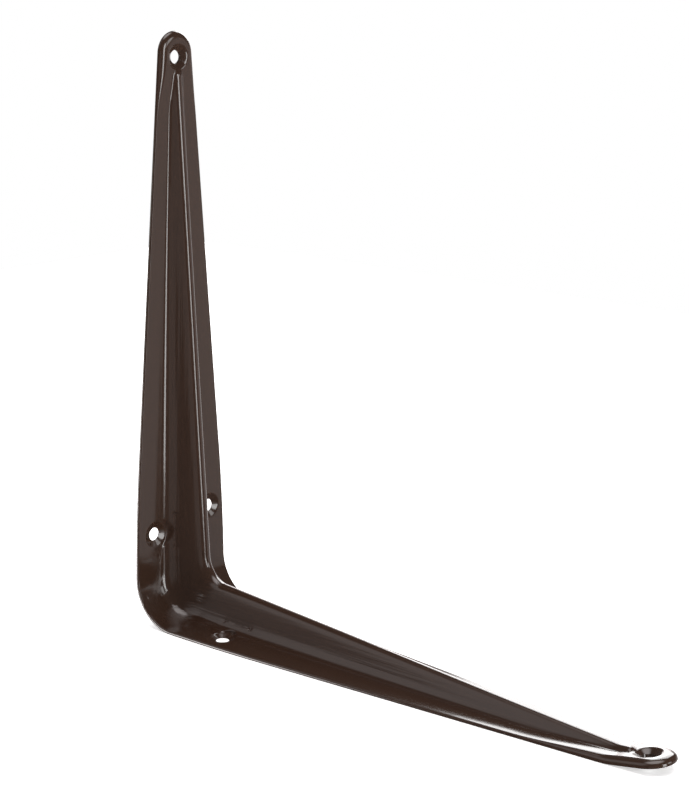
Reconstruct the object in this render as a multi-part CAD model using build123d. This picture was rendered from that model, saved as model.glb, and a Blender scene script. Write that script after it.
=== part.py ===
from build123d import *
from math import asin, atan2, cos, hypot, radians, sin, tan
import os

# Pressed steel shelf bracket: a wall arm up +Z, a shelf arm out +X, mirrored about y = 0 but
# for its staggered screw holes.  Sizes are in millimetres.  A distance along an arm is measured
# from the outer corner at the origin, and a height is measured off the back of the sheet.

# The sheet and its outline: flanks of even width that run into a wide curve and then narrow.
wall_arm_length = 200.0
shelf_arm_length = 200.0
sheet = 1.2
bend_radius = 16.0
corner_half_width = 20.95
flare_corner = 31.4
flare_radius = 600.0
tip_radius = 7.4
edge_round = 0.35

# The lift at the end of the shelf arm, which starts a run short of the tip.
curl_run = 18.0
curl_angle = 9.0
curl_radius = 30.0

# The hollow rib.  The lean is how far its wall moves out for each millimetre that it drops.
rib_height_corner = 14.5
rib_height_tip = 2.0
rib_crest_half = 1.55
rib_wall_lean = 0.51
rib_valley_radius = 15.5
rib_crest_round = 1.2
rib_core_round = 0.3
rib_foot_round = 2.6
rib_end_gap = 13.5
rib_end_round = 4.0

# Screw holes in conical dishes.  Those near the corner, given as (distance along the arm,
# distance across it), lie in flat pads.  Those in the tips lie in low domes.
hole_diameter = 4.5
dish_diameter = 9.0
dish_depth = 0.95
tip_dish_depth = 1.3
pad_radius = 5.9
wall_near_hole = (30.3, -12.4)
wall_far_hole = (34.8, 13.5)
shelf_near_hole = (33.3, -12.7)
shelf_far_hole = (33.3, 12.7)
tip_hole_inset = 8.4
dome_base_radius = 7.0
dome_slope_run = 2.1
dome_fullness = 0.75
wall_dome_lift = 1.0
shelf_dome_lift = 1.1

# Room that trimming bodies reach past the metal they trim, and the gap that still counts as none.
trim = 8.0
near = 0.01
full_turn = 360
hole_radius = hole_diameter / 2
dish_radius = dish_diameter / 2
curl_start = shelf_arm_length - curl_run


def flat_face(points, radii):
    """A face in the XZ plane from corner points, each with its own rounding radius."""
    corners = [Vector(x, 0, z) for x, z in points]
    return Face(Wire(FilletPolyline(*corners, radius=radii, close=True).edges()))


def inset(face, amount):
    """The face with its whole outline moved inward."""
    return offset(face, -amount, kind=Kind.INTERSECTION).faces()[0]


def across(face, half):
    """The face drawn out to both sides of the middle plane."""
    return Solid.extrude(face.moved(Location((0, -half, 0))), Vector(0, 2 * half, 0))


def plan(length):
    """An arm's outline laid flat: even width, flared bend, straight flanks and a round tip."""
    centre = length - tip_radius
    run = centre - flare_corner
    lean = atan2(corner_half_width, run) - asin(tip_radius / hypot(run, corner_half_width))
    touch = (centre + tip_radius * sin(lean), tip_radius * cos(lean))
    half = [(-trim, corner_half_width), (flare_corner, corner_half_width), touch]
    flank = FilletPolyline(*half, radius=flare_radius)
    other = FilletPolyline(*[(s, -y) for s, y in half], radius=flare_radius)
    tip = ThreePointArc(touch, (length, 0), (touch[0], -touch[1]))
    root = Line(half[0], (-trim, -corner_half_width))
    return Face(Wire(flank.edges() + other.edges() + tip.edges() + root.edges()))


# The space in front of the sheet's back face, with the shelf arm's tip curled up.
top = wall_arm_length + trim
side = shelf_arm_length + trim
curl_rise = (side - curl_start) * tan(radians(curl_angle))
back_line = [(0, top), (0, 0), (curl_start, 0), (side, curl_rise), (side, top)]
space_face = flat_face(back_line, [0, bend_radius, curl_radius, 0, 0])
half_reach = corner_half_width + trim
space = across(space_face, half_reach)
lining = space - across(inset(space_face, sheet), half_reach)

# The rib's side view: two crests that fall toward the tips and meet in a round valley.
wall_fall = (rib_height_corner - rib_height_tip) / wall_arm_length
shelf_fall = (rib_height_corner - rib_height_tip) / shelf_arm_length
wall_rib_end = wall_arm_length - rib_end_gap
shelf_rib_end = shelf_arm_length - rib_end_gap
wall_end_height = rib_height_corner - wall_fall * wall_rib_end
shelf_end_height = rib_height_corner - shelf_fall * shelf_rib_end
valley_x = rib_height_corner * (1 - wall_fall) / (1 - wall_fall * shelf_fall)
valley_z = rib_height_corner * (1 - shelf_fall) / (1 - wall_fall * shelf_fall)
rib_points = [
    (wall_end_height, wall_rib_end),
    (valley_x, valley_z),
    (shelf_rib_end, shelf_end_height),
    (shelf_rib_end + shelf_end_height + trim, -trim),
    (-trim, -trim),
    (-trim, wall_rib_end + wall_end_height + trim),
]
rib_radii = [rib_end_round, rib_valley_radius, rib_end_round, 0, 0, 0]
rib_face = flat_face(rib_points, rib_radii)


def rib_form(depth, crest_round):
    """The rib as a solid with leaning walls, shrunk all round by a depth below its skin."""
    lean = atan2(rib_wall_lean, 1)
    half = rib_crest_half - depth * tan((radians(90) - lean) / 2)
    face = inset(rib_face, depth) if depth else rib_face
    sink = rib_height_corner
    body = across(face, half)
    for hand in (-1, 1):
        fall = Vector(-sink, hand * rib_wall_lean * sink, -sink)
        body += Solid.extrude(face.moved(Location((0, hand * half, 0))), fall)
    body = body.clean()
    crest = [
        e
        for e in body.edges()
        if abs(abs(e.center().Y) - half) < near and min(e.center().X, e.center().Z) > 0
    ]
    return body.fillet(crest_round, crest)


skin = rib_form(0, rib_crest_round)
core = rib_form(sheet, rib_core_round)

# Both arms' outlines drawn out through the whole bracket.
wall_outline = plan(wall_arm_length).rotate(Axis.Y, -90).moved(Location((-trim, 0, 0)))
wall_plan = Solid.extrude(wall_outline, Vector(side + trim, 0, 0))
shelf_outline = plan(shelf_arm_length).moved(Location((0, 0, -trim)))
shelf_plan = Solid.extrude(shelf_outline, Vector(0, 0, top + trim))


def seat(distance, y, on_wall):
    """A hole's frame: its origin on the back of the sheet, its axis out of the front."""
    if on_wall:
        return Plane(origin=(0, y, distance), x_dir=(0, 1, 0), z_dir=(1, 0, 0))
    lean = radians(curl_angle) if distance > curl_start else 0
    rise = max(distance - curl_start, 0) * tan(lean)
    level = (cos(lean), 0, sin(lean))
    return Plane(origin=(distance, y, rise), x_dir=level, z_dir=(-sin(lean), 0, cos(lean)))


def turned(edges, where):
    """A solid turned from edges in the (radius, height) plane about a hole's axis."""
    return where.location * Solid.revolve(Face(Wire(edges)), full_turn, Axis.Z)


def outline(points):
    """The edges of a closed polygon of (radius, height) points."""
    return Polyline(*[Vector(r, 0, h) for r, h in points], close=True).edges()


def dish_cut(where, rim, depth):
    """The screw hole and its conical dish, whose rim lies at a height above the back."""
    floor = rim - depth
    above = rib_height_corner
    points = [(0, -trim), (hole_radius, -trim), (hole_radius, floor), (dish_radius, rim)]
    return turned(outline(points + [(dish_radius, above), (0, above)]), where)


def dome(where, lift):
    """The low dome of metal around a tip hole, from near the edge up to the dish's rim."""
    crown_radius = dome_base_radius - dome_slope_run
    start = Vector(dome_base_radius, 0, sheet)
    shoulder = Vector(dome_base_radius - dome_slope_run / 2, 0, sheet + lift * dome_fullness)
    crown = Vector(crown_radius, 0, sheet + lift)
    rise = ThreePointArc(start, shoulder, crown)
    foot = Vector(dome_base_radius, 0, 0)
    rest = Polyline(crown, Vector(0, 0, sheet + lift), Vector(0, 0, 0), foot, start)
    return turned(rise.edges() + rest.edges(), where)


def dome_hollow(where, lift):
    """The recess that the dome leaves in the back of the sheet."""
    inner = hole_radius + sheet / 2
    outer = dome_base_radius - sheet / 2
    crown_radius = dome_base_radius - dome_slope_run - sheet / 2
    return turned(outline([(inner, 0), (dish_radius, lift), (crown_radius, lift), (outer, 0)]), where)


def pad_clear(where, radius, bottom):
    """The room over a flat round pad, which bites into the foot of the rib."""
    above = rib_height_corner
    return turned(outline([(0, bottom), (radius, bottom), (radius, above), (0, above)]), where)


def stands_on_edge(face):
    """Whether a face is part of the sheet's cut edge, square to the arm that it is on."""
    normal = face.normal_at()
    centre = face.center()
    return abs(normal.X if centre.Z > centre.X else normal.Z) < near


# The holes' frames, and how far each tip's dome lifts the rim of its dish.
tips = [
    (seat(wall_arm_length - tip_hole_inset, 0, True), wall_dome_lift),
    (seat(shelf_arm_length - tip_hole_inset, 0, False), shelf_dome_lift),
]
pads = [
    seat(*wall_near_hole, True),
    seat(*wall_far_hole, True),
    seat(*shelf_near_hole, False),
    seat(*shelf_far_hole, False),
]

# The bent sheet, cut to its outline, with its cut edge rounded.
leaf = lining & wall_plan & shelf_plan
flat_edges = [e for f in leaf.faces() if not stands_on_edge(f) for e in f.edges()]
cut_edges = [e for f in leaf.faces() if stands_on_edge(f) for e in f.edges()]
rims = [e for e in cut_edges if any(e.is_same(flat) for flat in flat_edges)]
leaf = leaf.fillet(edge_round, rims)

# The outside of the pressing, its rib foot eased into the sheet but for the flat pads.
front = leaf + (skin & space)
feet = [e for e in front.edges() if e.is_interior]
front = front.fillet(rib_foot_round, feet)
for where in pads:
    front = front - pad_clear(where, pad_radius, sheet)
    core = core - pad_clear(where, pad_radius + sheet, -trim)

# The hollow pressing, then its domes, dishes and holes.
shell = front - core
for where, lift in tips:
    shell = shell + dome(where, lift)
    shell = shell - dome_hollow(where, lift)
    shell = shell - dish_cut(where, sheet + lift, tip_dish_depth)
for where in pads:
    shell = shell - dish_cut(where, sheet, dish_depth)
bracket = shell.solids().sort_by(SortBy.VOLUME)[-1]

os.makedirs("parts", exist_ok=True)
bracket.label = "bracket"
export_step(bracket, "parts/bracket.step")
print("Bracket volume in cubic mm:", round(bracket.volume))
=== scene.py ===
# %% [markdown]
# The object is a shelf bracket, pressed in one piece from sheet steel and dipped in dark brown
# gloss paint. It stands on a pale floor: one arm lies flat, the other rises. A hollow rib runs
# down the middle of both arms and round the inner corner.
#
# The CAD model gives the frame and the sizes. Its skin could be shown as it is, or a cage could
# be subdivided, but a glossy surface tells the eye every radius. So the skin is worked out by
# formula, as a height off the back of the sheet at every place on it, with the soft transitions
# that a press die leaves.

import math

import bpy
import numpy as np
from mathutils import Matrix, Vector


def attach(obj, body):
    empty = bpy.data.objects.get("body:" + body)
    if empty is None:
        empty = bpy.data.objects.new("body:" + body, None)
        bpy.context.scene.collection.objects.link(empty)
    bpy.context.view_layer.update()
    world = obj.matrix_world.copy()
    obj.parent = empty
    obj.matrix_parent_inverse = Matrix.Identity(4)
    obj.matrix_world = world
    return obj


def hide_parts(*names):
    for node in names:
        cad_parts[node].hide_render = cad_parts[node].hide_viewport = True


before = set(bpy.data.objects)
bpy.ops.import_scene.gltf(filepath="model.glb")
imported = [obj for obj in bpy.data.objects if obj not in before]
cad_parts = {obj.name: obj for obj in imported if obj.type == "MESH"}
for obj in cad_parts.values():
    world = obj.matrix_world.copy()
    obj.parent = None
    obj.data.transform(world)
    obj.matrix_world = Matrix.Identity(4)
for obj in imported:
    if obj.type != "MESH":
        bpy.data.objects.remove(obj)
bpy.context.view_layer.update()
MM = 0.001

# %% [markdown]
# The camera could be placed by eye. It was solved instead from the outline of both arms, the
# crest of the rib and the holes, so it stands where the real one stood: a long lens a little
# above the bracket, which looks down into the inside corner. Its place is one point in
# millimetres, and its turn, tilt and roll are given by the directions of its right side and of
# its top.

# %% Camera
IMAGE_WIDTH = 689
IMAGE_HEIGHT = 785
FOCAL_PX = 1816.75
SENSOR_MM = 36.0
NEAREST_SEEN = 10.0
FARTHEST_SEEN = 20000.0
CAMERA_PLACE = Vector((438.7, -421.7, 224.6))
CAMERA_RIGHT = Vector((0.75628, 0.65420, 0.00890))
CAMERA_UP = Vector((-0.15974, 0.17144, 0.97218))


def make_camera():
    """A perspective camera at the measured place, with the measured axes."""
    data = bpy.data.cameras.new("camera")
    camera = bpy.data.objects.new("camera", data)
    bpy.context.scene.collection.objects.link(camera)
    data.sensor_width = SENSOR_MM
    data.lens = SENSOR_MM * FOCAL_PX / max(IMAGE_WIDTH, IMAGE_HEIGHT)
    data.clip_start = NEAREST_SEEN * MM
    data.clip_end = FARTHEST_SEEN * MM
    back = CAMERA_RIGHT.cross(CAMERA_UP)
    turn = Matrix((CAMERA_RIGHT, CAMERA_UP, back)).transposed().to_4x4()
    camera.matrix_world = Matrix.Translation(CAMERA_PLACE * MM) @ turn
    bpy.context.scene.camera = camera
    return camera


camera = make_camera()
print("Lens in mm:", round(camera.data.lens, 2))

# %% [markdown]
# The real blank is cut to this outline before it is pressed. Each arm is widest at the corner and
# narrows to a round tip, along a flank that starts as a very wide curve. It could be drawn as a
# curve object. Here it is a half width at each distance along the arm, because every other form
# is worked out from that distance too. All sizes from here on are in millimetres, and a distance
# along an arm is measured from the outer corner.

# %% Outline
ARM_LENGTH = 200.0
HALF_WIDTH = 20.95
FLARE_CORNER = 31.4
FLARE_RADIUS = 600.0
TIP_RADIUS = 7.4
TIP_CENTRE = ARM_LENGTH - TIP_RADIUS


def sag(radius, run):
    """How far a circle has fallen away from its tangent after a run along that tangent."""
    return radius - np.sqrt(np.clip(radius**2 - run**2, 0, None))


def flank_lean():
    """The angle of the straight flank, which touches the round of the tip."""
    run = TIP_CENTRE - FLARE_CORNER
    reach = math.hypot(run, HALF_WIDTH)
    return math.atan2(HALF_WIDTH, run) - math.asin(TIP_RADIUS / reach)


def half_width(s):
    """Half the arm's width at a distance along it, without the round tip."""
    lean = flank_lean()
    tangent = FLARE_RADIUS * math.tan(lean / 2)
    run = np.clip(s - (FLARE_CORNER - tangent), 0, None)
    curved = HALF_WIDTH - sag(FLARE_RADIUS, run)
    straight = HALF_WIDTH - (s - FLARE_CORNER) * math.tan(lean)
    return np.where(s < FLARE_CORNER + tangent * math.cos(lean), curved, straight)


widths = [round(2 * float(half_width(s)), 1) for s in (0.0, ARM_LENGTH / 2)]
print("Width at the corner and halfway along an arm, in mm:", widths)

# %% [markdown]
# At both ends of a real pressing the die draws the whole sheet up into a low cap and rolls its
# edge over wide. Elsewhere the edge is only a little rounded. A cap could be modelled as a piece
# of its own and blended in. Here one share, which grows from 0 to 1 toward the tip, drives both
# the lift and the roll, so that they stay in step and leave no seam.

# %% Caps and rolled edge
CAP_START = {"wall": 172.0, "bend": 172.0, "shelf": 150.0}
CAP_FULL = 190.0
CAP_LIFT = {"wall": 1.0, "bend": 0.0, "shelf": 1.1}
CAP_WIDTH = 2.6
EDGE_ROUND = 0.35


def soft_step(share):
    """0 below a share of 0 and 1 above a share of 1, with a soft start and a soft end."""
    t = np.clip(share, 0, 1)
    return t * t * (3 - 2 * t)


def cap_share(s, arm):
    """0 along the arm and 1 at the tip."""
    return soft_step((s - CAP_START[arm]) / (CAP_FULL - CAP_START[arm]))


def flat_lift(s, arm):
    """How far the flat parts of the sheet are drawn up toward a tip."""
    return CAP_LIFT[arm] * cap_share(s, arm)


def roll_width(s, arm):
    """How far in from the outline the front of the sheet starts to roll over."""
    return EDGE_ROUND + (CAP_WIDTH - EDGE_ROUND) * cap_share(s, arm)


halfway = [round(float(roll_width(180.0, arm)), 2) for arm in ("wall", "shelf")]
print("Roll of the edge at 180 mm on the wall arm and on the shelf arm, in mm:", halfway)

# %% [markdown]
# The real part is one strip of sheet that is bent once, with the end of its shelf arm curled up a
# little. So it is modelled as a flat strip, and a function bends each point to its place. A plain
# bend would turn every level about one centre. Here the higher levels turn on a wider round than
# that and slide along the arms near the corner, so that the rib's crest turns in the round valley
# that the photograph shows.

# %% From the strip to space
SHEET = 1.2
BEND_RADIUS = 16.0
VALLEY_GROWTH = -0.55
SLIDE_RATE = 1 + VALLEY_GROWTH
BLEND_LENGTH = 34.0
CURL_START = 182.0
CURL_ANGLE = math.radians(9.0)
CURL_RADIUS = 30.0


def corner_share(s):
    """1 at the bend, falling to 0 further along the arm."""
    return 1 - soft_step((s - BEND_RADIUS) / BLEND_LENGTH)


def shelf_back(s):
    """The back of the shelf arm at a distance along it: its height and its slope angle."""
    tangent = CURL_RADIUS * math.tan(CURL_ANGLE / 2)
    run = np.clip(s - (CURL_START - tangent), 0, 2 * tangent)
    angle = CURL_ANGLE * run / (2 * tangent)
    arc_rise = CURL_RADIUS * (1 - np.cos(angle))
    past = np.clip(s - (CURL_START + tangent), 0, None)
    return arc_rise + past * math.tan(CURL_ANGLE), angle


def to_space(arm, s, y, n):
    """Points from a distance along, a distance across and a height n off the back of the sheet.

    On the bend, arm is "bend" and s is the turn, from 0 to a quarter.
    """
    s, y, n = np.broadcast_arrays(np.asarray(s, float), y, n)
    if arm == "bend":
        above = BEND_RADIUS - SHEET + VALLEY_GROWTH * (n - SHEET)
        radius = np.where(n < SHEET, BEND_RADIUS - n, above)
        centre = n + radius
        return np.stack([centre - radius * np.cos(s), y, centre - radius * np.sin(s)], -1)
    slide = SLIDE_RATE * np.clip(n - SHEET, 0, None)
    along = s + slide * corner_share(s)
    if arm == "wall":
        return np.stack([n, y, along], -1)
    rise, angle = shelf_back(s)
    return np.stack([along - n * np.sin(angle), y, rise + n * np.cos(angle)], -1)


print("Lift of the shelf arm's tip in mm:", round(float(shelf_back(ARM_LENGTH)[0]), 2))

# %% [markdown]
# Cut across, the real rib is a narrow round crest on two steep walls. It is eased into the sheet
# by a foot round that is wide near the corner and all but gone at the tips, as a die makes it
# where it draws the metal less deep. The rib could be swept along a path, but a sweep keeps one
# shape. Here each size of the section falls with the distance from the corner, and the walls join
# both rounds.

# %% Section of the rib
RIB_HEIGHT_CORNER = 15.4
RIB_FALL = 0.0665
CREST_ROUND_CORNER = 2.65
CREST_ROUND_FALL = 0.0059
CREST_FLAT = 0.05
FOOT_HALF_CORNER = 8.1
FOOT_HALF_FALL = (0.0105, 0.0000915)
FOOT_ROUND_SHARE = 0.44
FOOT_ROUND_LEAST = 0.8
CREST_HALF_GUESS = 0.6
CREST_HALF_TRIES = 3
QUARTER_TURN = math.pi / 2


def bend_distance(turn):
    """The distance along an arm that a place on the bend counts as, shortest halfway round."""
    return BEND_RADIUS - (BEND_RADIUS - SHEET) * (turn - turn * turn / QUARTER_TURN)


def section(s, arm):
    """The rib's crest height and crest half width, its foot's half width, and both rounds.

    A place at height n has slid along by gain * (n - SHEET), so the crest's height is solved from
    n = RIB_HEIGHT_CORNER - RIB_FALL * (s + gain * (n - SHEET)).
    """
    share = 1.0 if arm == "bend" else corner_share(s)
    s = bend_distance(s) if arm == "bend" else s
    gain = SLIDE_RATE * share
    crest = (RIB_HEIGHT_CORNER - RIB_FALL * (s - gain * SHEET)) / (1 + RIB_FALL * gain)
    crest_round = CREST_ROUND_CORNER - CREST_ROUND_FALL * s
    foot = FOOT_HALF_CORNER - FOOT_HALF_FALL[0] * s - FOOT_HALF_FALL[1] * s * s
    half = CREST_HALF_GUESS * crest_round
    for _ in range(CREST_HALF_TRIES):
        lean = np.arctan2(crest - SHEET, foot - half)
        half = crest_round * np.tan(lean / 2) + CREST_FLAT
    foot_round = np.maximum(FOOT_ROUND_SHARE * (crest - SHEET), FOOT_ROUND_LEAST)
    return crest, half, foot, crest_round, foot_round


heights = [round(float(section(s, "wall")[0]), 1) for s in (20.0, 100.0, 180.0)]
print("Rib height at 20, 100 and 180 mm, in mm:", heights)

# %% [markdown]
# From the middle outward the skin is crest, crest round, wall, foot round and flat sheet. The walls
# of the real rib aren't quite plane: they bow a little between the rounds, which bends the lines
# that they mirror. A bevel on a sharp rib could make the rounds, but not the bow. So the height is
# worked out band by band, and each band starts where the one before it ends.

# %% Height of the rib
WALL_BOW = 0.22
FULL_TURN = 2 * math.pi


def marks(s, arm):
    """Distances across where the flat ends, the wall starts and ends, and the crest starts."""
    crest, half, foot, crest_round, foot_round = section(s, arm)
    lean = np.arctan2(crest - SHEET, foot - half)
    cut = foot_round * np.tan(lean / 2)
    top_cut = crest_round * np.tan(lean / 2)
    return foot + cut, foot - cut * np.cos(lean), half + top_cut * np.cos(lean), half - top_cut


def rib_height(s, y, arm):
    """Height of the plain ribbed skin off the back."""
    crest, half, foot, crest_round, foot_round = section(s, arm)
    flat_end, wall_start, wall_end, crest_start = marks(s, arm)
    d = np.abs(y)
    down = np.clip((d - half) / (foot - half), 0, 1)
    bowed = down - WALL_BOW * np.sin(FULL_TURN * down) / FULL_TURN
    n = np.where(d > flat_end, SHEET, SHEET + sag(foot_round, flat_end - d))
    n = np.where(d < wall_start, crest - (crest - SHEET) * bowed, n)
    n = np.where(d < wall_end, crest - sag(crest_round, d - crest_start), n)
    return np.where(d < crest_start, crest, n)


bands = [round(float(mark), 1) for mark in marks(50.0, "wall")]
print("Bands of the rib at 50 mm, as distances across in mm:", bands)

# %% [markdown]
# Each arm has two screw holes near the corner. Each is pierced in the middle of a conical dish
# for the head of a countersunk screw, and the dish lies in a flat round pad that bites into the
# foot of the rib. Booleans would leave hard edges there. The height can be eased from one form
# into another instead, and the smaller of two heights can be a soft one, which rounds their joint
# by a known amount.

# %% Pads and dishes near the corner
HOLE_RADIUS = 2.25
DISH_RADIUS = 4.5
DISH_DEPTH = 0.95
DISH_EASE = 0.15
PAD_RADIUS = {"wall": 5.0, "shelf": 4.6}
PAD_EASE = {"wall": 1.2, "shelf": 0.4}
# Corner holes as (distance along the arm, distance across it).
CORNER_HOLES = {"wall": [(30.3, -12.4), (34.8, 13.5)], "shelf": [(33.3, -12.7), (33.3, 12.7)]}


def soft_min(a, b, ease):
    """The smaller of two heights, eased where their difference is small."""
    return np.minimum(a, b) - np.clip(ease - np.abs(a - b), 0, None) ** 2 / (4 * ease)


def cone(r, rim, depth, radius):
    """Height of a dish's cone at a distance from its middle."""
    return rim - depth + (r - HOLE_RADIUS) * depth / (radius - HOLE_RADIUS)


def pads_and_dishes(n, s, y, arm):
    """The skin with a flat pad struck into it around each corner hole, and a dish in each pad."""
    for hole_s, hole_y in CORNER_HOLES[arm]:
        r = np.hypot(s - hole_s, y - hole_y)
        n = SHEET + (n - SHEET) * soft_step((r - PAD_RADIUS[arm]) / PAD_EASE[arm])
        dish = soft_min(n, cone(r, SHEET, DISH_DEPTH, DISH_RADIUS), DISH_EASE)
        n = np.where(r < PAD_RADIUS[arm], dish, n)
    return n


print("Corner holes:", sum(len(holes) for holes in CORNER_HOLES.values()))

# %% [markdown]
# At a tip the rib rounds down and dies into the raised cap, and the cap carries the third dish
# with its hole. The joint of rib and cap could be a fillet, but the rib gets lower and lower
# there, and a fillet needs room. The root of the sum of both heights' powers runs from one into
# the other by itself: it follows the higher one and only swells a little where they are alike.

# %% Caps and dishes at the tips
TIP_HOLE = 191.6
TIP_DISH_RADIUS = 4.3
TIP_DISH_DEPTH = 1.3
TIP_DISH_EASE = 0.3
TIP_DISH_REACH = 5.3
RIB_END = 187.8
RIB_END_ROUND = 2.4
CAP_JOIN_POWER = 3


def cap_and_dish(n, s, y, arm):
    """The skin near a tip, where the rib rounds down into the cap and the cap carries a dish."""
    end = np.clip(s - (RIB_END - RIB_END_ROUND), 0, RIB_END_ROUND)
    rib = np.clip(n - sag(RIB_END_ROUND, end) - SHEET, 0, None)
    lift = flat_lift(s, arm)
    n = SHEET + (rib**CAP_JOIN_POWER + lift**CAP_JOIN_POWER) ** (1 / CAP_JOIN_POWER)
    r = np.hypot(s - TIP_HOLE, y)
    rim = SHEET + CAP_LIFT[arm]
    dish = soft_min(n, cone(r, rim, TIP_DISH_DEPTH, TIP_DISH_RADIUS), TIP_DISH_EASE)
    return np.where(r < TIP_DISH_REACH, dish, n)


def skin(s, y, arm):
    """Height of the finished skin off the back."""
    n = rib_height(s, y, arm)
    if arm == "bend":
        return n
    n = pads_and_dishes(n, s, y, arm)
    if np.all(s < min(CAP_START.values())):
        return n
    return cap_and_dish(n, s, y, arm)


tip_floor = float(skin(np.array(TIP_HOLE + HOLE_RADIUS), np.array(0.0), "wall"))
print("Height of the sheet at the rim of the wall tip's hole, in mm:", round(tip_floor, 2))

# %% [markdown]
# The strip is sampled in rows along it and in columns across it. An even grid would spend its
# points on the flats. The columns follow the foot, the wall and the crest instead, so that every
# round gets points of its own and mirrors a smooth line.

# %% Rows and columns
TIP_CUT = 183.6
ROW_STEP = 1.0
BEND_ROWS = 26
EDGE_COLUMN = 0.25
FLAT_COLUMNS = 14
ROUND_COLUMNS = 9
WALL_COLUMNS = 7
CREST_COLUMNS = 5


def edge_at(arm, s, share):
    """Half the strip's width at a row, moved inward by a share of the rolled edge."""
    distance = np.array(bend_distance(s) if arm == "bend" else s)
    return float(half_width(distance) - share * roll_width(distance, arm))


def half_columns(s, arm):
    """Distances across for one row, from the edge in to the middle."""
    flat_end, wall_start, wall_end, crest_start = [float(v) for v in marks(s, arm)]
    edge = edge_at(arm, s, 1.0)
    flat = np.linspace(edge - EDGE_COLUMN, flat_end, FLAT_COLUMNS)
    foot = np.linspace(flat_end, wall_start, ROUND_COLUMNS)[1:]
    wall = np.linspace(wall_start, wall_end, WALL_COLUMNS)[1:]
    crest = np.linspace(wall_end, crest_start, CREST_COLUMNS)[1:]
    return np.concatenate([[edge], flat, foot, wall, crest, [0.0]])


def row_across(s, arm):
    """Distances across for one full row, from one edge to the other."""
    half = half_columns(s, arm)
    return np.concatenate([-half, half[-2::-1]])


ALONG = np.linspace(BEND_RADIUS, TIP_CUT, int((TIP_CUT - BEND_RADIUS) / ROW_STEP) + 1)
TURNS = np.linspace(0, QUARTER_TURN, BEND_ROWS + 1)[1:-1]
ROWS = [("wall", float(s)) for s in ALONG[::-1]]
ROWS += [("bend", float(turn)) for turn in TURNS]
ROWS += [("shelf", float(s)) for s in ALONG]
COLUMNS = len(row_across(float(ALONG[0]), "wall"))
print("Rows:", len(ROWS), "columns:", COLUMNS)

# %% [markdown]
# The mesh is put together by hand from points and faces, because the rings around the holes have
# to share their points with the grid. Each point also keeps its place on the strip, which the
# back and the cut edge are worked out from.

# %% Points and faces
points = []
places = []
faces = []


def put(arm, s, y, n):
    """Adds points and gives back their numbers."""
    s, y, n = [np.atleast_1d(v) for v in np.broadcast_arrays(np.asarray(s, float), y, n)]
    start = len(points)
    points.extend(to_space(arm, s, y, n))
    places.extend((arm, float(a), float(b), float(c)) for a, b, c in zip(s, y, n))
    return np.arange(start, start + len(s))


def bridge(a, b):
    """Faces between two closed rings that have one number of points."""
    for i in range(len(a)):
        j = (i + 1) % len(a)
        faces.append((int(a[i]), int(a[j]), int(b[j]), int(b[i])))


grid = []
for arm, s in ROWS:
    across = row_across(s, arm)
    grid.append(put(arm, s, across, skin(np.full_like(across, s), across, arm)))
grid = np.array(grid)
print("Grid points:", grid.size)

# %% [markdown]
# A grid alone would show a round hole with a stepped rim. So a window a little wider than the pad
# is left out of the grid around each corner hole. It runs across from beside the edge to the top
# of the foot round.

# %% Windows around the corner holes
WINDOW_HALF = 7.6
INNER_COLUMN = FLAT_COLUMNS + ROUND_COLUMNS + 1
left_out = set()


def window_loop(arm, hole_s, hole_y):
    """Leaves a window out of the grid, and gives back the loop of grid points around it."""
    rows = [i for i, (a, s) in enumerate(ROWS) if a == arm and abs(s - hole_s) <= WINDOW_HALF]
    first, last = rows[0], rows[-1]
    if hole_y < 0:
        left, right = 1, INNER_COLUMN
    else:
        left, right = COLUMNS - 1 - INNER_COLUMN, COLUMNS - 2
    left_out.update((i, j) for i in range(first, last) for j in range(left, right))
    loop = [grid[first, j] for j in range(left, right)]
    loop += [grid[i, right] for i in range(first, last)]
    loop += [grid[last, j] for j in range(right, left, -1)]
    loop += [grid[i, left] for i in range(last, first, -1)]
    return np.array(loop)


windows = [
    (arm, hole_s, hole_y, window_loop(arm, hole_s, hole_y))
    for arm, holes in CORNER_HOLES.items()
    for hole_s, hole_y in holes
]
print("Windows:", len(windows), "grid faces left out:", len(left_out))

# %% [markdown]
# Each window is filled with rings that run from the hole out to the window's frame, close
# together where the dish turns into its pad. This keeps holes and dishes truly round, as a punch
# makes them.

# %% Rings in the windows
DISH_RINGS = (HOLE_RADIUS, 2.6, 3.2, 3.8, 4.2, 4.35, DISH_RADIUS, 4.65, 4.85, 5.0)
FILL_RINGS = 16
hole_rings = []


def ring_fill(arm, hole_s, hole_y, loop, radii):
    """Rings from a hole out to a loop of points. Gives back the hole's own ring."""
    loop_s = np.array([places[i][1] for i in loop])
    loop_y = np.array([places[i][2] for i in loop])
    angle = np.arctan2(loop_y - hole_y, loop_s - hole_s)
    rounds = [(hole_s + r * np.cos(angle), hole_y + r * np.sin(angle)) for r in radii]
    last_s, last_y = rounds[-1]
    for t in np.arange(1, FILL_RINGS) / FILL_RINGS:
        rounds.append((last_s + (loop_s - last_s) * t, last_y + (loop_y - last_y) * t))
    rings = [put(arm, s, y, skin(s, y, arm)) for s, y in rounds] + [loop]
    for a, b in zip(rings, rings[1:]):
        bridge(a, b)
    return rings[0]


for arm, hole_s, hole_y, loop in windows:
    hole_rings.append(ring_fill(arm, hole_s, hole_y, loop, DISH_RINGS))

for i in range(len(ROWS) - 1):
    for j in range(COLUMNS - 1):
        if (i, j) not in left_out:
            quad = (grid[i, j], grid[i + 1, j], grid[i + 1, j + 1], grid[i, j + 1])
            faces.append(tuple(int(v) for v in quad))
print("Faces of the grid and its windows:", len(faces))

# %% [markdown]
# The grid stops short of each tip. A tip is filled with rings as the windows are: they run from
# its hole out to a loop made of the grid's last row and of the round edge. The edge points are
# kept in order, because the sheet's cut edge is hung on them later.

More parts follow.
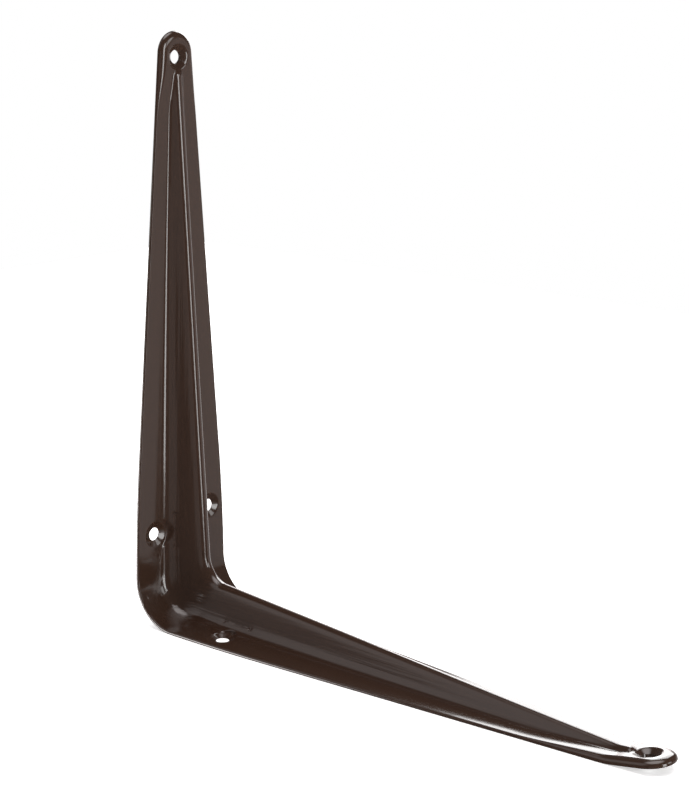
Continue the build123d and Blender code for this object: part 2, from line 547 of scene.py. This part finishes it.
# %% Tips
TIP_RINGS = (HOLE_RADIUS, 2.6, 3.2, 3.7, 4.0, 4.2, 4.35, 4.5)
EDGE_STEPS = 64
SIDE_STEPS = 8


def tip_outline(share, arm):
    """Points round a tip past the cut, moved inward by a share of the rolled edge."""
    lean = flank_lean()
    radius = TIP_RADIUS - share * CAP_WIDTH
    turn = np.linspace(QUARTER_TURN - lean, lean - QUARTER_TURN, EDGE_STEPS + 1)
    arc_s = TIP_CENTRE + radius * np.cos(turn)
    arc_y = radius * np.sin(turn)
    steps = np.linspace(TIP_CUT, arc_s[0], SIDE_STEPS + 1)[1:-1]
    side = half_width(steps) - share * roll_width(steps, arm)
    s = np.concatenate([steps, arc_s, steps[::-1]])
    y = np.concatenate([side, arc_y, -side[::-1]])
    return s, y


edge_loops = {}
for arm, row in (("wall", grid[0]), ("shelf", grid[-1])):
    s, y = tip_outline(1.0, arm)
    edge_loops[arm] = put(arm, s, y, skin(s, y, arm))
    loop = np.concatenate([row, edge_loops[arm]])
    if arm == "wall":
        loop = loop[::-1]
    hole_rings.append(ring_fill(arm, TIP_HOLE, 0.0, loop, TIP_RINGS))
front_count = len(points)
print("Front skin:", front_count, "points,", len(faces), "faces")

# %% [markdown]
# The back of a real pressing follows its front at one sheet thickness, so the rib is hollow
# behind. The Solidify modifier could do that, but it would push the back of each dish through the
# plane that the bracket rests on. Here the back is the front moved in along its own normals, and
# then pressed flat where it would pass that plane.

# %% Back skin
TINY = 1e-12


def normals_of(count):
    """Unit normals of the front's points, weighted by the areas around them."""
    place = np.array(points[:count])
    total = np.zeros((count, 3))
    quads = np.array(faces)
    a, b, c, d = [place[quads[:, k]] for k in range(4)]
    diagonals = np.cross(c - a, d - b)
    for k in range(4):
        np.add.at(total, quads[:, k], diagonals)
    return total / np.maximum(np.linalg.norm(total, axis=1, keepdims=True), TINY)


def press_flat(p):
    """Moves points that passed the back of either arm, or the bend's outside, onto it."""
    x, z = p[:, 0].copy(), p[:, 2].copy()
    on_wall = z >= BEND_RADIUS
    on_shelf = (x >= BEND_RADIUS) & ~on_wall
    x = np.where(on_wall, np.maximum(x, 0), x)
    z = np.where(on_shelf, np.maximum(z, shelf_back(x)[0]), z)
    reach = np.maximum(np.hypot(x - BEND_RADIUS, z - BEND_RADIUS), TINY)
    pull = np.where(on_wall | on_shelf, 1, np.minimum(1, BEND_RADIUS / reach))
    x = np.where(pull < 1, BEND_RADIUS + (x - BEND_RADIUS) * pull, x)
    z = np.where(pull < 1, BEND_RADIUS + (z - BEND_RADIUS) * pull, z)
    return np.stack([x, p[:, 1], z], 1)


front_faces = list(faces)
back_skin = press_flat(np.array(points) - SHEET * normals_of(front_count))
for i in np.concatenate(hole_rings):
    arm, s, y, n = places[i]
    back_skin[i] = to_space(arm, s, y, 0.0)
for i in np.concatenate([grid[:, 0], grid[:, -1], *edge_loops.values()]):
    arm, s, y, n = places[i]
    back_skin[i] = to_space(arm, s, y, float(flat_lift(s, arm)))
points.extend(back_skin)
places.extend(places[:front_count])
faces.extend(tuple(front_count + v for v in reversed(quad)) for quad in front_faces)
print("Both skins:", len(points), "points,", len(faces), "faces")

# %% [markdown]
# The die rolls the front of the cut edge over and leaves a small round at its back. These rounds
# catch the bright lines that draw the outline of the bracket, so they are real geometry. A bevel
# would keep one width, but the roll grows toward the tips. So rings of points are laid round the
# whole outline, first down the rolled front and then round the back.

# %% Rings of the cut edge
ROLL_STEPS = 10
BACK_STEPS = 4


def edge_ring(share, level):
    """A ring of points round the whole outline, at a level worked out from place and arm."""
    ring = [put(arm, s, -edge_at(arm, s, share), level(s, arm))[0] for arm, s in ROWS]
    s, y = tip_outline(share, "shelf")
    ring += list(put("shelf", s, y, level(s, "shelf")))[::-1]
    ring += [put(arm, s, edge_at(arm, s, share), level(s, arm))[0] for arm, s in ROWS[::-1]]
    s, y = tip_outline(share, "wall")
    ring += list(put("wall", s, y, level(s, "wall")))
    return np.array(ring)


def front_ring(turn):
    """A ring on the rolled front edge, from the flat at no turn to the side at a quarter."""

    def level(s, arm):
        top = SHEET + flat_lift(s, arm)
        return top - (top - EDGE_ROUND) * (1 - math.cos(turn))

    return edge_ring(1 - math.sin(turn), level)


def back_ring(turn, side):
    """A ring on the small round at the back of the edge, from the side ring to the back."""
    ring = []
    inward = EDGE_ROUND * (1 - math.cos(turn))
    n = EDGE_ROUND * (1 - math.sin(turn))
    for arm, s, y, _ in [places[i] for i in side]:
        if arm != "bend" and s > TIP_CENTRE:
            pull = 1 - inward / math.hypot(s - TIP_CENTRE, y)
            s, y = TIP_CENTRE + (s - TIP_CENTRE) * pull, y * pull
        else:
            y = y - math.copysign(inward, y)
        ring.append(put(arm, s, y, n)[0])
    return np.array(ring)


print("Steps of the rolled front and of the round at the back:", ROLL_STEPS, BACK_STEPS)

# %% [markdown]
# The rings are joined one after another, from the edge of the front skin to the edge of the back.
# A punched hole has a plain straight wall, so its front ring and its back ring are joined
# directly.

# %% Closing the edge and the holes
rim = np.concatenate([grid[:, 0], edge_loops["shelf"][::-1], grid[::-1, -1], edge_loops["wall"]])
rings = [rim]
for k in range(1, ROLL_STEPS + 1):
    rings.append(front_ring(QUARTER_TURN * k / ROLL_STEPS))
side = rings[-1]
for k in range(1, BACK_STEPS + 1):
    rings.append(back_ring(QUARTER_TURN * k / BACK_STEPS, side))
rings.append(rim + front_count)
for a, b in zip(rings, rings[1:]):
    bridge(a, b)
for ring in hole_rings:
    bridge(ring + front_count, ring)
print("Rings round the edge:", len(rings), "of", len(rim), "points")

# %% [markdown]
# The points become one closed mesh. The real skin has hardly any hard edges, so shading is
# smooth, but for creases sharper than an angle, such as the rim of a pierced hole. The piece
# takes the place of the CAD node, so it rides on the root as the node does.

# %% Mesh
CREASE_ANGLE = math.radians(40)


def make_bracket():
    """The bracket's mesh, without the grid points that the windows left unused."""
    used = sorted({v for quad in faces for v in quad})
    number = {old: new for new, old in enumerate(used)}
    corners = [tuple(Vector(points[v]) * MM) for v in used]
    mesh = bpy.data.meshes.new("pressed_bracket")
    mesh.from_pydata(corners, [], [tuple(number[v] for v in quad) for quad in faces])
    mesh.validate()
    mesh.polygons.foreach_set("use_smooth", [True] * len(mesh.polygons))
    mesh.set_sharp_from_angle(angle=CREASE_ANGLE)
    piece = bpy.data.objects.new("pressed_bracket", mesh)
    bpy.context.scene.collection.objects.link(piece)
    return piece


bracket = make_bracket()
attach(bracket, "root")
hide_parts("bracket")
print("Bracket mesh:", len(bracket.data.vertices), "points,", len(bracket.data.polygons), "faces")

# %% [markdown]
# Every finish below is a small tree of shader nodes. Colours are written as the eye sees them on
# a screen and turned into light amounts by one function, and one function adds a node, sets its
# properties, and sets or links its inputs.

# %% Colour and node helpers


def to_linear(hex_colour):
    """An sRGB colour such as #3a2a22 as linear red, green, blue and alpha, by the sRGB rule."""
    channels = [int(hex_colour[i : i + 2], 16) / 255 for i in (1, 3, 5)]
    return [c / 12.92 if c <= 0.04045 else ((c + 0.055) / 1.055) ** 2.4 for c in channels] + [1.0]


def add_node(tree, kind, settings=None, inputs=None):
    """Adds a shader node, sets its properties, and sets or links inputs by name or number."""
    node = tree.nodes.new(kind)
    for name, value in (settings or {}).items():
        setattr(node, name, value)
    for key, value in (inputs or {}).items():
        if isinstance(value, bpy.types.NodeSocket):
            tree.links.new(value, node.inputs[key])
        else:
            node.inputs[key].default_value = value
    return node


PAINT_COLOUR = "#34251d"
print("Paint in linear light:", [round(c, 3) for c in to_linear(PAINT_COLOUR)[:3]])

# %% [markdown]
# Paint that was dipped and stoved isn't perfectly level. Its skin is uneven over a few
# millimetres, by much less than its own thickness, which makes mirrored edges waver a little.
# This could be modelled, but it is far too slight to change an outline, so it is a bump.

# %% Ripple of the paint
RIPPLE_WIDTH = 5.0
RIPPLE_DEPTH = 0.1
RIPPLE_STRENGTH = 0.15
NOISE_DETAIL = 2.0


def paint_ripple(tree, place):
    """The normal of a faintly uneven skin of paint."""
    noise = add_node(
        tree,
        "ShaderNodeTexNoise",
        inputs={"Vector": place, "Scale": 1 / (RIPPLE_WIDTH * MM), "Detail": NOISE_DETAIL},
    )
    height = {"Height": noise.outputs["Fac"], "Distance": RIPPLE_DEPTH * MM}
    bump = add_node(tree, "ShaderNodeBump", inputs={**height, "Strength": RIPPLE_STRENGTH})
    return bump.outputs["Normal"]


print("Ripple of the paint, width and depth in mm:", RIPPLE_WIDTH, RIPPLE_DEPTH)

# %% [markdown]
# Where the die draws the sheet down the sides of the rib, it leaves fine streaks that run along
# the arm and show through the paint as broken light lines. Real ones are a few tenths of a
# millimetre wide. That is too fine to show here, so they are drawn coarser. A noise that is
# stretched a long way along the arm gives them, and three masks keep them to the sides of the
# rib: off the flat sheet, off the round crest and away from the tips.

# %% Draw streaks
STREAK_WIDTH = 1.6
STREAK_STRETCH = 60.0
STREAK_DEPTH = 0.16
FOOT_MASK = (1.6, 3.2)
CREST_MASK = (0.7 * CREST_ROUND_CORNER, CREST_ROUND_CORNER)
TIP_MASK = (ARM_LENGTH - 50.0, ARM_LENGTH - 30.0)


def streak_share(tree, off_back, from_middle, along):
    """Where the streaks are, from 0 to 1: the product of the three masks."""
    share = 1.0
    for distance, (start, end), (before, past) in (
        (off_back, FOOT_MASK, (0.0, 1.0)),
        (from_middle, CREST_MASK, (0.0, 1.0)),
        (along, TIP_MASK, (1.0, 0.0)),
    ):
        span = {"From Min": start * MM, "From Max": end * MM, "To Min": before, "To Max": past}
        mask = add_node(tree, "ShaderNodeMapRange", inputs={"Value": distance, **span})
        factors = {0: share, 1: mask.outputs["Result"]}
        share = add_node(tree, "ShaderNodeMath", {"operation": "MULTIPLY"}, factors).outputs[0]
    return share


def draw_streaks(tree, place, below):
    """The normal of streaks that run along both arms, laid over the normal below them."""
    x, y, z = add_node(tree, "ShaderNodeSeparateXYZ", inputs={"Vector": place}).outputs
    off_back = add_node(tree, "ShaderNodeMath", {"operation": "MINIMUM"}, {0: x, 1: z}).outputs[0]
    along = add_node(tree, "ShaderNodeMath", {"operation": "MAXIMUM"}, {0: x, 1: z}).outputs[0]
    from_middle = add_node(tree, "ShaderNodeMath", {"operation": "ABSOLUTE"}, {0: y}).outputs[0]
    stretch = {0: along, 1: 1 / STREAK_STRETCH}
    slow = add_node(tree, "ShaderNodeMath", {"operation": "MULTIPLY"}, stretch).outputs[0]
    strip = add_node(tree, "ShaderNodeCombineXYZ", inputs={"X": y, "Y": off_back, "Z": slow})
    pattern = {"Vector": strip.outputs["Vector"], "Scale": 1 / (STREAK_WIDTH * MM)}
    noise = add_node(tree, "ShaderNodeTexNoise", inputs={**pattern, "Detail": NOISE_DETAIL})
    share = streak_share(tree, off_back, from_middle, along)
    height = {"Height": noise.outputs["Fac"], "Distance": STREAK_DEPTH * MM}
    bump = add_node(tree, "ShaderNodeBump", inputs={**height, "Strength": share, "Normal": below})
    return bump.outputs["Normal"]


print("Draw streaks, width and depth in mm:", STREAK_WIDTH, STREAK_DEPTH)

# %% [markdown]
# The finish is a brown gloss enamel, dipped and stoved. To the eye it is a very dark brown body
# under a clear, smooth skin of resin that mirrors the studio in sharp lines. It could be a coat
# over a dull base, but one surface with the resin's index of refraction gives the same look and
# exports whole. Resin has an index near 1.5, and the roughness was matched to how soft the
# mirrored edges are. The steel is hidden, so the paint isn't metallic.

# %% Brown gloss enamel
ENAMEL_IOR = 1.5
ENAMEL_ROUGHNESS = 0.12


def make_enamel():
    """Dark brown gloss enamel with a faint ripple and fine draw streaks."""
    material = bpy.data.materials.new("brown_gloss_enamel")
    material.use_nodes = True
    tree = material.node_tree
    tree.nodes.clear()
    place = add_node(tree, "ShaderNodeTexCoord").outputs["Object"]
    normal = draw_streaks(tree, place, paint_ripple(tree, place))
    body = add_node(
        tree,
        "ShaderNodeBsdfPrincipled",
        inputs={
            "Base Color": to_linear(PAINT_COLOUR),
            "Roughness": ENAMEL_ROUGHNESS,
            "IOR": ENAMEL_IOR,
            "Normal": normal,
        },
    )
    add_node(tree, "ShaderNodeOutputMaterial", inputs={"Surface": body.outputs["BSDF"]})
    return material


bracket.data.materials.append(make_enamel())
print("Painted:", bracket.name, "with", bracket.data.materials[0].name)

# %% [markdown]
# The bracket stands on plain white that has no end and no horizon, as a product is shown. A
# curved sweep of paper could do that. Here a flat matt floor takes the soft shadow, and a little
# glow of its own makes it as bright as the white behind it. It isn't mirrored in the paint: what
# the gloss shows is the studio that is set up below.

# %% Floor
FLOOR_HALF = 600.0
FLOOR_DROP = 0.02
FLOOR_GLOW = 0.56


def white_surface(name, glow, lit):
    """A plain white material that glows by itself and, if lit, takes light and shade too."""
    material = bpy.data.materials.new(name)
    material.use_nodes = True
    tree = material.node_tree
    tree.nodes.clear()
    light = {"Color": to_linear("#ffffff"), "Strength": glow}
    shade = add_node(tree, "ShaderNodeEmission", inputs=light).outputs[0]
    if lit:
        paper = add_node(tree, "ShaderNodeBsdfDiffuse", inputs={"Color": to_linear("#fafafa")})
        both = {0: shade, 1: paper.outputs["BSDF"]}
        shade = add_node(tree, "ShaderNodeAddShader", inputs=both).outputs[0]
    add_node(tree, "ShaderNodeOutputMaterial", inputs={"Surface": shade})
    return material


def make_floor():
    """A wide white floor just under the shelf arm."""
    h = FLOOR_HALF * MM
    mesh = bpy.data.meshes.new("floor")
    mesh.from_pydata([(-h, -h, 0), (h, -h, 0), (h, h, 0), (-h, h, 0)], [], [(0, 1, 2, 3)])
    floor = bpy.data.objects.new("floor", mesh)
    bpy.context.scene.collection.objects.link(floor)
    mesh.materials.append(white_surface("white_floor", FLOOR_GLOW, lit=True))
    floor.location.z = -FLOOR_DROP * MM
    floor.visible_glossy = False
    return floor


print("Floor in mm:", 2 * FLOOR_HALF, "by", 2 * FLOOR_HALF)

# %% [markdown]
# Behind the floor stands a white dome. The world's own colour could be the ground of the picture,
# but the world is what the paint mirrors, and most of it has to be dim. So the dome is seen by
# the camera only, and is left out of every mirror, shade and shadow.

# %% Backdrop
BACKDROP_GLOW = 1.0
BACKDROP_RADIUS = 6000.0
BACKDROP_SEGMENTS = 48
BACKDROP_RINGS = 24


def make_backdrop():
    """A white dome around the set, seen by the camera only."""
    bpy.ops.mesh.primitive_uv_sphere_add(
        radius=BACKDROP_RADIUS * MM, segments=BACKDROP_SEGMENTS, ring_count=BACKDROP_RINGS
    )
    dome = bpy.context.object
    dome.name = "backdrop"
    dome.data.materials.append(white_surface("white_backdrop", BACKDROP_GLOW, lit=False))
    for rays in ("visible_diffuse", "visible_glossy", "visible_transmission", "visible_shadow"):
        setattr(dome, rays, False)
    return dome


make_floor()
make_backdrop()
print("Backdrop radius in mm:", BACKDROP_RADIUS)

# %% [markdown]
# A gloss finish is drawn by what it mirrors. The real studio is a dim room with white paper and
# white walls around the set, which give the flats their even sheen. An image of a room could
# stand for it. Here the surround is a dim white with paler round patches, so that each sheen on
# the bracket has a patch of its own that can be moved. A patch has a direction, given as azimuth
# and elevation, an inner and an outer half angle between which it fades, and a brightness.

# %% Surround
AMBIENT = 0.10
PATCHES = [
    (50.0, -8.0, 15.0, 19.0, 0.7),
    (84.0, -8.0, 15.0, 19.0, 0.7),
    (118.0, -10.0, 16.0, 26.0, 1.0),
    (132.0, 20.0, 8.0, 16.0, 0.35),
    (-58.0, -8.0, 16.0, 21.0, 0.42),
    (-130.0, 24.0, 8.0, 20.0, 0.4),
    (-126.0, 43.0, 5.0, 27.0, 1.1),
    (127.0, 6.0, 9.0, 14.5, 3.5),
    (-127.0, -13.0, 5.0, 10.0, 14.0),
    (0.0, 90.0, 12.0, 30.0, 4.5),
]


def toward(azimuth, elevation):
    """The direction of an azimuth, counted from +X toward +Y, and an elevation, in degrees."""
    a, e = math.radians(azimuth), math.radians(elevation)
    return Vector((math.cos(e) * math.cos(a), math.cos(e) * math.sin(a), math.sin(e)))


def make_world():
    """The surround: at each direction, the brightest of the dim white and the patches."""
    world = bpy.data.worlds.new("studio")
    bpy.context.scene.world = world
    world.use_nodes = True
    tree = world.node_tree
    tree.nodes.clear()
    place = add_node(tree, "ShaderNodeTexCoord").outputs["Generated"]
    total = AMBIENT
    for azimuth, elevation, inner, outer, strength in PATCHES:
        pair = {0: place, 1: toward(azimuth, elevation)}
        dot = add_node(tree, "ShaderNodeVectorMath", {"operation": "DOT_PRODUCT"}, pair)
        fade = {
            "Value": dot.outputs["Value"],
            "From Min": math.cos(math.radians(outer)),
            "From Max": math.cos(math.radians(inner)),
            "To Min": 0.0,
            "To Max": strength,
        }
        patch = add_node(tree, "ShaderNodeMapRange", {"interpolation_type": "SMOOTHSTEP"}, fade)
        brighter = {0: total, 1: patch.outputs["Result"]}
        total = add_node(tree, "ShaderNodeMath", {"operation": "MAXIMUM"}, brighter).outputs[0]
    glow = {"Color": to_linear("#fff9f9"), "Strength": total}
    shade = add_node(tree, "ShaderNodeBackground", inputs=glow)
    add_node(tree, "ShaderNodeOutputWorld", inputs={"Surface": shade.outputs["Background"]})


make_world()
print("Patches in the surround:", len(PATCHES))

# %% [markdown]
# Four soft boxes make the bright lines along the edges, the foot of the rib and its crest. A tall
# one stands past the end of the shelf arm, a smaller one higher up beside it, a large one behind
# the bracket, and a low one at the left. The large one also whitens the far flank of the shelf
# arm, which is lost against the white in the photograph. They could be glowing panels, but area
# lamps give less noise. Each faces the bracket, and is given by its direction, by the width and
# height in degrees that it spans as seen from there, and by its brightness.

# %% Soft boxes
MIDDLE = Vector((60.0, 0.0, 80.0))
BOX_DISTANCE = 2000.0
SOFT_BOXES = {
    "side_box": (-2.0, 6.0, 16.0, 44.0, 9.0),
    "front_box": (26.0, 20.0, 18.0, 18.0, 4.0),
    "far_box": (111.5, 30.0, 26.0, 36.0, 7.0),
    "left_box": (-126.0, 1.0, 20.0, 6.0, 2.0),
}


def soft_box(name, azimuth, elevation, width, height, brightness):
    """An area light that faces the bracket. Its power follows its size, so brightness stays."""
    distance = BOX_DISTANCE * MM
    span = [2 * distance * math.tan(math.radians(angle / 2)) for angle in (width, height)]
    data = bpy.data.lights.new(name, "AREA")
    data.shape = "RECTANGLE"
    data.size, data.size_y = span
    data.energy = math.pi * span[0] * span[1] * brightness
    lamp = bpy.data.objects.new(name, data)
    bpy.context.scene.collection.objects.link(lamp)
    lamp.location = MIDDLE * MM + toward(azimuth, elevation) * distance
    lamp.rotation_euler = (-toward(azimuth, elevation)).to_track_quat("-Z", "Y").to_euler()


for name, values in SOFT_BOXES.items():
    soft_box(name, *values)
print("Soft boxes:", ", ".join(SOFT_BOXES))

# %% [markdown]
# The photograph is a plain product picture with a pure white ground. A film look would grey the
# white and lift the dark brown, so the light amounts go straight to screen colours.

# %% Film
view = bpy.context.scene.view_settings
view.view_transform = "Standard"
view.look = "None"
print("View transform:", view.view_transform)
